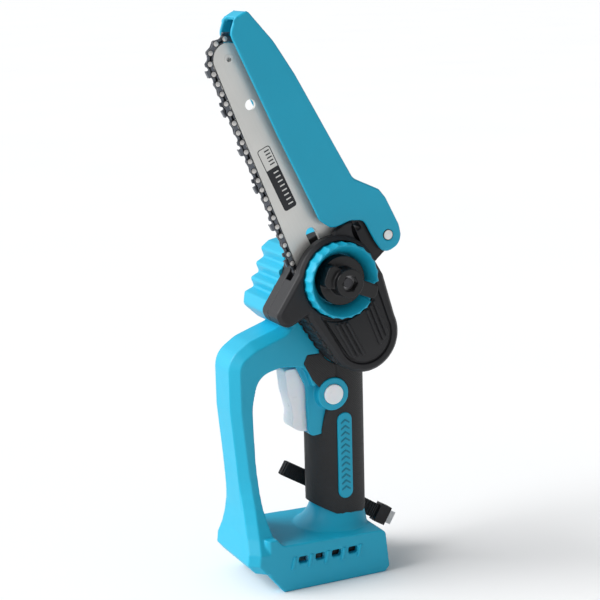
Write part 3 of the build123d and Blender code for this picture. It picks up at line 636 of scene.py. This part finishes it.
def loop_point(s):
    """Point of the rivet line at length s, counted from the back of the drive sprocket."""
    arc_drive, arc_nose = PITCH * DRIVE_TEETH / pi, PITCH * NOSE_TEETH / pi
    lift, rise = straight(DRIVE_R, BULGE_U)
    fall, run = straight(NOSE_R, NOSE_U - BULGE_U)
    back, total = (pi / 2 - lift) * arc_drive, RIVETS * PITCH
    s, side = s % total, 1
    if s > total / 2:
        s, side = total - s, -1
    if s < back:
        angle = pi - s / arc_drive
        u, v = DRIVE_R * cos(angle), DRIVE_R * sin(angle)
    elif s < back + rise:
        t = (s - back) / rise
        u = t * BULGE_U - (1 - t) * DRIVE_R * sin(lift)
        v = t * BULGE_V + (1 - t) * DRIVE_R * cos(lift)
    elif s < back + rise + run:
        t = (s - back - rise) / run
        u = (1 - t) * BULGE_U + t * (NOSE_U + NOSE_R * sin(fall))
        v = (1 - t) * BULGE_V + t * NOSE_R * cos(fall)
    else:
        angle = (total / 2 - s) / arc_nose
        u, v = NOSE_U + NOSE_R * cos(angle), NOSE_R * sin(angle)
    return u, side * v


def link_place(i):
    (u0, v0), (u1, v1) = loop_point((i + 0.5) * PITCH), loop_point((i + 1.5) * PITCH)
    return at(HEAD, (u0 + u1) / 2, (v0 + v1) / 2, CHAIN_W, atan2(v1 - v0, u1 - u0))


def waisted(half, end_r, waist):
    """Figure-of-eight outline of a link plate."""
    outline = []
    for side in (1, -1):
        outline += [Vector((side * (half + end_r * cos(radians(a))), side * end_r * sin(radians(a))))
                    for a in range(-100, 101, 25)]
        outline.append(Vector((0, side * waist)))
    return outline


# ---------------------------------------------------------------- the pieces
class BuildPiece:
    """What the saw's operators share."""
    bl_options = {"REGISTER", "UNDO"}

    def execute(self, context):
        self.build(context.scene.saw_sizes)
        return {"FINISHED"}


class SAW_OT_inner_works(BuildPiece, bpy.types.Operator):
    """Gives every CAD node its procedural finish"""
    bl_idname = "saw.inner_works"
    bl_label = "Inner works"

    def build(self, sizes):
        for node, made in frame["nodes"].items():
            made.data.materials.clear()
            made.data.materials.append(finish("dark_steel" if node == "bar_stud" else SLOT_OF[node]))


class SAW_OT_handle(BuildPiece, bpy.types.Operator):
    """Two handle shells with softened edges, and the fins by their vents"""
    bl_idname = "saw.handle"
    bl_label = "Handle shells"

    def build(self, sizes):
        near, far = "handle_shell_near", "handle_shell_far"
        made = add_object(near, cad_copy(near))
        mate = cad_copy(far)
        overlap = 0.6 * MM               # how far the far shell sinks into the near one, to close the seam
        mate.transform(Matrix.Translation((0, -overlap, 0)))
        soften(join(made, [mate]), sizes.shell_voxel, 4, 196000)
        piece("handle_shells_finished", made, SLOT_OF[near], "housing", [near, far], smooth=0)
        pitch, slant, half_tall, half_wide = VENTS_X[1] - VENTS_X[0], 2.2, 4.2, 1.2
        fin = slab(rounded([(-slant - half_wide, -half_tall), (-slant + half_wide, -half_tall),
                            (half_wide, half_tall), (-half_wide, half_tall)], 0.6),
                   soft_levels(-0.6, 0.95, 0.7))
        places = []
        for plane, way in ((SIDE, 1), (SIDE @ Matrix.Rotation(pi, 4, "Y"), -1)):
            for i in range(len(VENTS_X) + 1):
                middle = VENTS_X[0] + pitch * (i - 0.5)
                places.append(at(plane, way * middle, VENTS_Z - 1.2, FOOT_HALF))
        repeat("vent_fins", [fin], places, "teal_plastic", "housing")


class SAW_OT_grip(BuildPiece, bpy.types.Operator):
    """Rubber sleeves of the grip and the relief badge"""
    bl_idname = "saw.grip"
    bl_label = "Grip"

    def build(self, sizes):
        for side in ("near", "far"):
            softened("grip_rubber_" + side, "housing", sizes.fine_voxel, 3, 120000)
        low, high = (Vector(c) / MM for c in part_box("badge_plate"))
        middle_x, middle_z = (low.x + high.x) / 2 - SIDE.translation.x, (low.z + high.z) / 2
        half, radius = (high.z - low.z) / 2, (high.x - low.x) / 2
        front = SPLIT_Y - low.y
        outline = rounded([(-radius, -half), (radius, -half), (radius, half), (-radius, half)], radius * 0.98)
        plate = slab(outline, soft_levels(front - 1.6, front, 0.5))
        badge = mesh_from([plate], at(SIDE, middle_x, middle_z, 0))
        piece("badge_finished", badge, "teal_plastic", "housing", ["badge_plate"])
        chevron = rounded([(-3.1, -1.2), (0, 0.9), (3.1, -1.2), (3.1, 0.1), (0, 2.2), (-3.1, 0.1)], 0.25)
        mark = slab(chevron, soft_levels(0, 0.5, 0.25))
        count, pitch = 12, 4.1
        rows = [at(SIDE, middle_x, middle_z + (i - (count - 1) / 2) * pitch, front - 0.05)
                for i in range(count)]
        # the chevrons are painted darker teal as painted shade of their relief
        repeat("badge_chevrons", [mark], rows, "teal_plastic", "housing", paint="relief")


class SAW_OT_bumper(BuildPiece, bpy.types.Operator):
    """Wavy bumper in front of the chain"""
    bl_idname = "saw.bumper"
    bl_label = "Bumper"

    def build(self, sizes):
        softened("bumper", "housing", sizes.bumper_voxel, 2, 120000)


class SAW_OT_case(BuildPiece, bpy.types.Operator):
    """Gear case with its arm, and the ribs along its side wall"""
    bl_idname = "saw.case"
    bl_label = "Gear case"

    def build(self, sizes):
        softened("gear_housing", "housing", sizes.fine_voxel, 4, 120000)
        softened("side_cover", "housing", sizes.fine_voxel, 4, 150000)
        start, end = Vector((28.2, 28.4)), Vector((-4.5, 23.7))
        count, depth = 6, 21.5
        along = (end - start).normalized()
        lean = atan2(along.y, along.x)
        rib = slab(rounded([(-3.1, -1.4), (3.1, -1.4), (2.9, 0.1), (1.5, 1.2), (-1.5, 1.2), (-2.9, 0.1)],
                           [0, 0, 0.6, 1.6, 1.6, 0.6]), soft_levels(0, depth, 1.0, 1.0))
        places = [at(HEAD, *(start + (end - start) * i / (count - 1)), 17.2, lean + pi) for i in range(count)]
        repeat("case_ribs", [rib], places, "black_plastic", "housing")


def panel_outline(inset):
    """Outline of the recessed panel: round at the bottom, cut by the ring's seat at the top."""
    low_r, top_v = 18.5 - inset, 21.3 - inset
    seat = RING_R + 1.4 + inset
    lower = [Vector((low_r * cos(radians(a)), low_r * sin(radians(a)))) for a in range(96, 265, 8)]
    half = asin(min(1, top_v / seat))
    upper = [Vector((STUD_U - seat * cos(a * half / 8), seat * sin(a * half / 8))) for a in range(-8, 9)]
    return lower + upper


class SAW_OT_panel(BuildPiece, bpy.types.Operator):
    """Ridged panel let into the side cover"""
    bl_idname = "saw.panel"
    bl_label = "Cover panel"

    def build(self, sizes):
        plate = slab(panel_outline(1.7), soft_levels(40.5, COVER_FRONT + 0.15, 0.7))
        mesh = mesh_from([plate], HEAD)
        piece("cover_panel_finished", mesh, "black_plastic", "housing", ["cover_panel"])
        ridge = slab(rounded([(-13, -1.3), (13, -1.3), (13, 1.3), (-13, 1.3)], 1.25),
                     soft_levels(-0.2, 1.25, 1.15))
        places = []
        for side in (1, -1):
            for i in range(3):
                v = side * (7.2 + 3.3 * i)
                places.append(at(HEAD, 2.2 + 1.3 * i, v, COVER_FRONT, radians(side * 3)))
        repeat("panel_ridges", [ridge], places, "black_plastic", "housing")


def turned_surface(rows, steps, radius_of):
    """Closed ring surface: each row (r, w, share) takes part of the ring's waviness."""
    points, faces = [], []
    for i in range(steps):
        angle = 2 * pi * i / steps
        for row in rows:
            r, w = radius_of(angle, *row)
            points.append((r * cos(angle), r * sin(angle), w))
    count = len(rows)
    for i in range(steps):
        for j in range(count):
            a, b = i * count + j, i * count + (j + 1) % count
            c, d = (i + 1) % steps * count + (j + 1) % count, (i + 1) % steps * count + j
            faces.append((a, d, c, b))
    return points, faces


class SAW_OT_tension(BuildPiece, bpy.types.Operator):
    """Scalloped tension ring and the clamp knob"""
    bl_idname = "saw.tension"
    bl_label = "Ring and knob"

    def build(self, sizes):
        lobes, depth = sizes.ring_lobes, sizes.scallop / MM
        notch_half, notch_drop = radians(17), 4.6

        def wavy(angle, r, w, wave, drop):
            swing = abs(sin(lobes * angle / 2))
            away = abs((angle - FINGER_WAY + pi) % (2 * pi) - pi)
            scoop = max(0.0, 1 - (away / notch_half) ** 4) * drop * notch_drop
            return r - wave * depth * swing, w - scoop

        bore, spigot, spigot_back, floor_w = 8.2, 11.2, 33.5, 38.6
        rows = [(bore, spigot_back, 0, 0), (spigot, spigot_back, 0, 0), (spigot, RING_BACK, 0, 0),
                (RING_R - 0.8, RING_BACK, 1, 0),
                (RING_R, RING_BACK + 0.8, 1, 0), (RING_R, RING_FRONT - 1.3, 1, 1),
                (RING_R - 0.3, RING_FRONT - 0.5, 1, 1), (RING_R - 1.0, RING_FRONT, 0.7, 1),
                (RING_R - 1.7, RING_FRONT, 0, 1), (RING_R - 2.4, RING_FRONT - 0.6, 0, 1),
                (16.6, 41.5, 0, 0.3), (16.0, floor_w, 0, 0), (bore, floor_w, 0, 0)]
        ring = turned_surface(rows, 360, wavy)
        piece("tension_ring_finished", mesh_from([ring], at(HEAD, STUD_U, 0, 0)), "teal_plastic", "ring",
              ["tension_ring"], smooth=40)
        softened("clamp_knob", "knob", sizes.fine_voxel, 3, 100000, paint="knob")


class SAW_OT_bar(BuildPiece, bpy.types.Operator):
    """Guide bar, its nose rivet and its printed marks"""
    bl_idname = "saw.bar"
    bl_label = "Guide bar"

    def build(self, sizes):
        made = add_object("bar", cad_copy("guide_bar"))
        edge = made.modifiers.new("edge", "BEVEL")
        edge.limit_method, edge.angle_limit, edge.width, edge.segments = "ANGLE", radians(50), 0.0002, 2
        settle(made)
        made.data.polygons.foreach_set("use_smooth", [True] * len(made.data.polygons))
        weigh = made.modifiers.new("weigh", "WEIGHTED_NORMAL")
        weigh.mode, weigh.weight = "FACE_AREA", 100
        piece("guide_bar_finished", settle(made), "bar_steel", "bar", ["guide_bar"], smooth=0)
        head = slab(disc(0, 0, 1.7), soft_levels(-0.1, 0.25, 0.2))
        # dark disc under the rivet head, showing as a thin dark ring round it: painted shade round the head
        seat = slab(disc(0, 0, 2.2), [(-0.1, 0), (0.04, 0)])
        spot = [at(HEAD, NOSE_U, 0, BAR_FRONT)]
        repeat("nose_rivet_seat", [seat], spot, "bar_steel", "bar", paint="print")
        repeat("nose_rivet_head", [head], spot, "bar_steel", "bar")
        film = [(0, 0), (0.04, 0)]
        low_u, split_u, high_u, low_v, high_v = 94, 122, 136, 0.2, 9.2
        block = slab(rounded([(low_u, low_v), (split_u, low_v), (split_u, high_v), (low_u, high_v)],
                             [1.8, 0, 0, 1.8]), film)
        window = rounded([(split_u, low_v + 0.5), (high_u - 0.5, low_v + 0.5), (high_u - 0.5, high_v - 0.5),
                          (split_u, high_v - 0.5)], [0, 1.4, 1.4, 0])
        frame_line = slab(rounded([(split_u - 0.1, low_v), (high_u, low_v), (high_u, high_v),
                                   (split_u - 0.1, high_v)], [0, 1.8, 1.8, 0]), film, [window])
        place = at(HEAD, 0, 0, BAR_FRONT)
        piece("bar_marks", mesh_from([block, frame_line], place), "bar_steel", "bar", paint="print")
        tick = slab(rounded([(-0.4, 0), (0.4, 0), (0.4, 3.4), (-0.4, 3.4)], 0), [(0, 0), (0.03, 0)])
        ticks = [at(HEAD, split_u + 2.6 + 2.2 * i, low_v + 1.4, BAR_FRONT) for i in range(5)]
        repeat("bar_ticks_dark", [tick], ticks, "bar_steel", "bar", paint="print")
        ticks = [at(HEAD, low_u + 3.2 + 3.1 * i, low_v + 1.6, BAR_FRONT + 0.03) for i in range(8)]
        repeat("bar_ticks_pale", [tick], ticks, "bar_steel", "bar")


class SAW_OT_chain(BuildPiece, bpy.types.Operator):
    """Chain of drive links, tie straps, cutters and rivets round the bar"""
    bl_idname = "saw.chain"
    bl_label = "Chain"

    def build(self, sizes):
        half = PITCH / 2
        plate = waisted(half - 0.02, 1.95, 1.35)
        thin = [(-0.45, 0.12), (-0.33, 0), (0.33, 0), (0.45, 0.12)]
        drive = [(height * 1.2, inset) for height, inset in thin]
        tang = rounded([(-2.1, 0), (-0.7, -5.2), (1.1, -5.2), (2.1, 0)], [0, 0.4, 0.4, 0])
        links = [link_place(i) for i in range(0, RIVETS, 2)]
        repeat("chain_drive_links_finished", [slab(plate, drive), slab(tang, drive)], links, "chain_steel",
               "bar", ["chain_drive_links"])
        side_gap = 1.1
        straps, left, right = [], [], []
        for i in range(1, RIVETS, 2):
            place = link_place(i)
            for side in (1, -1):
                spot = place @ Matrix.Translation((0, 0, side * side_gap))
                if (i % 8, side) == (1, 1):
                    left.append(spot)
                elif (i % 8, side) == (5, -1):
                    right.append(spot)
                else:
                    straps.append(spot)
        repeat("chain_straps_finished", [slab(plate, thin)], straps, "chain_steel", "bar",
               ["chain_tie_straps"])
        body = rounded([(-4.7, 0.4), (4.4, 0.4), (4.9, 3.0), (2.5, 3.3), (1.8, 1.9), (0.3, 1.9), (0.1, 3.7),
                        (-4.4, 3.2)], [0.6, 0.3, 0.5, 0.8, 0.6, 0.6, 0.2, 0.3], 30)
        for name, spots, top, nodes in (("left", left, (-2.1, 0.5), ["chain_cutters"]),
                                        ("right", right, (-0.5, 2.1), [])):
            roof = slab(rounded([(-4.3, 2.9), (0.1, 3.4), (0.1, 4.0), (-4.3, 3.6)], 0.1),
                        [(top[0], 0), (top[1], 0)])
            shape = [slab(plate, thin), slab(body, thin), roof]
            repeat("chain_cutters_" + name, shape, spots, "chain_steel", "bar", nodes)
        head = sizes.rivet_head / MM
        stub = slab(disc(0, 0, head, 14), [(-1.95, 0.35), (-1.75, 0), (1.75, 0), (1.95, 0.35)])
        rivets = [at(HEAD, *loop_point((i + 0.5) * PITCH), CHAIN_W) for i in range(RIVETS)]
        # dark ring round every rivet head, in the marks' ink: painted shade where the head meets the plates
        shade_ring = slab(disc(0, 0, head + 0.4, 14), [(-1.72, 0.1), (-1.65, 0), (1.65, 0), (1.72, 0.1)])
        repeat("chain_rivet_collars", [shade_ring], rivets, "chain_steel", "bar", paint="print")
        repeat("chain_rivets_finished", [stub], rivets, "rivet_steel", "bar", ["chain_rivets"])


class SAW_OT_guard(BuildPiece, bpy.types.Operator):
    """Chain guard and the near end of its hinge pin"""
    bl_idname = "saw.guard"
    bl_label = "Chain guard"

    def build(self, sizes):
        softened("chain_guard", "guard", sizes.fine_voxel, 2, 150000, lip=sizes.guard_lip)
        hinge = HEAD.inverted() @ (Vector(JOINT["guard_hinge"]["pos_m"]) / MM)
        low = Vector(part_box("guard_pin")[0]) / MM
        end = SPLIT_Y - low.y
        spot = [at(HEAD, hinge.x, hinge.y, end)]
        # dark disc under the pin end, showing as a dark ring round it: painted shade of a recess round the pin
        seat = slab(disc(0, 0, 3.3), [(-0.6, 0), (-0.05, 0)])
        cap = slab(disc(0, 0, 2.7), soft_levels(-0.5, 0.15, 0.3))
        repeat("guard_pin_seat", [seat], spot, "black_plastic", "housing", paint="print")
        repeat("guard_pin_end", [cap], spot, "rivet_steel", "housing", paint="pin_end")


class SAW_OT_controls(BuildPiece, bpy.types.Operator):
    """Trigger and lock button"""
    bl_idname = "saw.controls"
    bl_label = "Trigger and button"

    def build(self, sizes):
        softened("trigger", "trigger", sizes.fine_voxel, 7, 60000)
        softened("lock_button", "lock", 0.25 * MM, 4, 40000)


class SAW_OT_strap(BuildPiece, bpy.types.Operator):
    """Wrist strap of ribbed webbing"""
    bl_idname = "saw.strap"
    bl_label = "Strap"

    def build(self, sizes):
        tape = Matrix(((0.857, 0, -0.515), (0, 1, 0), (0.515, 0, 0.857))).transposed().to_4x4()
        tape.translation = SIDE.translation + Vector((0, 0.4, 56.5))
        half = 5.0
        fold_x, fold_y, fold_r, face_y = -13.2, 20.75, 2.5, 18.9
        fold = slab(disc(fold_x, fold_y, fold_r, 28), soft_levels(-half, half, 0.5, 0.5))
        softened("strap", "housing", 0.3 * MM, 2, 60000, extra=[mesh_from([fold], tape)])
        rib_end = half - 0.3
        rib = slab(rounded([(-0.5, -rib_end), (0.5, -rib_end), (0.5, rib_end), (-0.5, rib_end)], 0.4),
                   soft_levels(0, 0.45, 0.35))
        face = tape @ Matrix.Rotation(pi / 2, 4, "X")
        ribs = [at(face, x * 1.6 - 11.5, 0, -face_y) for x in range(29)]
        round_fold = [face @ Matrix.Translation((fold_x, 0, -fold_y)) @ Matrix.Rotation(radians(a), 4, "Y")
                      @ Matrix.Translation((0, 0, fold_r)) for a in (-20, -55, -90, -125, -160)]
        repeat("strap_ribs", [rib], ribs + round_fold, "webbing", "housing")
        softened("strap_adjuster", "housing", 0.3 * MM, 3, 30000)


class SAW_OT_stage(bpy.types.Operator):
    """Pale floor, soft light and the camera"""
    bl_idname = "saw.stage"
    bl_label = "Stage"

    def execute(self, context):
        stage = context.scene.saw_stage
        reach = 90000
        floor = mesh_from([slab([Vector(p) for p in ((-reach, -reach), (reach, -reach), (reach, reach),
                                                     (-reach, reach))], [(-20, 0), (-0.05, 0)])],
                          Matrix.Translation((0, 0, CAD_BOX[0].z / MM)))
        floor = add_object("floor", floor)
        paper = Finish("floor_paper", 0.9, Specular_IOR_Level=0.1)
        paper.set("Base Color", paper.mix(paper.noise(3, 2), (0.90, 0.90, 0.90), (0.93, 0.93, 0.93)))
        floor.data.materials.append(paper.material)

        self.surround(context.scene, stage)
        self.sun("key_light", stage.sun, (-0.80, 0.16, 0.60), 40)

        lens = bpy.data.cameras.new("camera")
        lens.lens, lens.sensor_width = stage.lens, 36
        lens.clip_end = 300
        camera = bpy.data.objects.new("camera", lens)
        context.scene.collection.objects.link(camera)
        turn, rise = stage.azimuth, stage.elevation
        back = Vector((sin(turn) * cos(rise), -cos(turn) * cos(rise), sin(rise)))
        right = Vector((cos(turn), sin(turn), 0))
        up = back.cross(right)
        c, s = cos(stage.roll), sin(stage.roll)
        view = Matrix((right * c + up * s, up * c - right * s, back)).transposed().to_4x4()
        view.translation = Vector(stage.aim) + back * stage.distance
        camera.matrix_world = view
        context.scene.camera = camera
        context.scene.view_settings.view_transform = "Standard"
        return {"FINISHED"}

    def surround(self, scene, stage):
        """Even pale surround with a brighter side, where a large soft box would stand."""
        world = bpy.data.worlds.new("soft_box")
        scene.world = world
        world.use_nodes = True
        web = Web(world.node_tree, "Background")
        way = web.node("ShaderNodeTexCoord", out="Generated")
        side = Vector((-0.82, 0.42, 0.35)).normalized()
        lobe = web.node("ShaderNodeVectorMath", {"operation": "DOT_PRODUCT"}, {0: way, 1: side}, out=1)
        lobe = web.node("ShaderNodeMath", {"operation": "MAXIMUM"}, {0: lobe, 1: 0.0})
        web.set("Color", (0.97, 0.985, 1.0, 1))
        web.set("Strength", lobe * lobe * lobe * stage.soft_box + stage.sky)

    def sun(self, name, strength, towards, spread):
        light = bpy.data.lights.new(name, "SUN")
        light.energy, light.angle = strength, radians(spread)
        lamp = bpy.data.objects.new(name, light)
        lamp.rotation_euler = Vector(towards).to_track_quat("Z", "Y").to_euler()
        bpy.context.scene.collection.objects.link(lamp)


class SAW_PT_panel(bpy.types.Panel):
    """Lists the saw's sizes and the steps that build it"""
    bl_label = "Pruning saw"
    bl_idname = "SAW_PT_panel"
    bl_space_type = "VIEW_3D"
    bl_region_type = "UI"
    bl_category = "Saw"

    def draw(self, context):
        for group in (context.scene.saw_colours, context.scene.saw_sizes, context.scene.saw_stage):
            for name in group.__annotations__:
                self.layout.prop(group, name)
        for step in STEPS:
            self.layout.operator(step.bl_idname)


GROUPS = {"saw_colours": SawColours, "saw_sizes": SawSizes, "saw_stage": SawStage}
STEPS = (SAW_OT_stage, SAW_OT_inner_works, SAW_OT_handle, SAW_OT_grip, SAW_OT_bumper, SAW_OT_case,
         SAW_OT_panel, SAW_OT_tension, SAW_OT_bar, SAW_OT_chain, SAW_OT_guard, SAW_OT_controls, SAW_OT_strap)


def register():
    for name, group in GROUPS.items():
        bpy.utils.register_class(group)
        setattr(bpy.types.Scene, name, bpy.props.PointerProperty(type=group))
    for kind in (*STEPS, SAW_PT_panel):
        bpy.utils.register_class(kind)


def unregister():
    for kind in (SAW_PT_panel, *reversed(STEPS)):
        bpy.utils.unregister_class(kind)
    for name, group in GROUPS.items():
        delattr(bpy.types.Scene, name)
        bpy.utils.unregister_class(group)


def main():
    register()
    for step in STEPS:
        family, name = step.bl_idname.split(".")
        getattr(getattr(bpy.ops, family), name)()


if __name__ == "__main__":
    main()
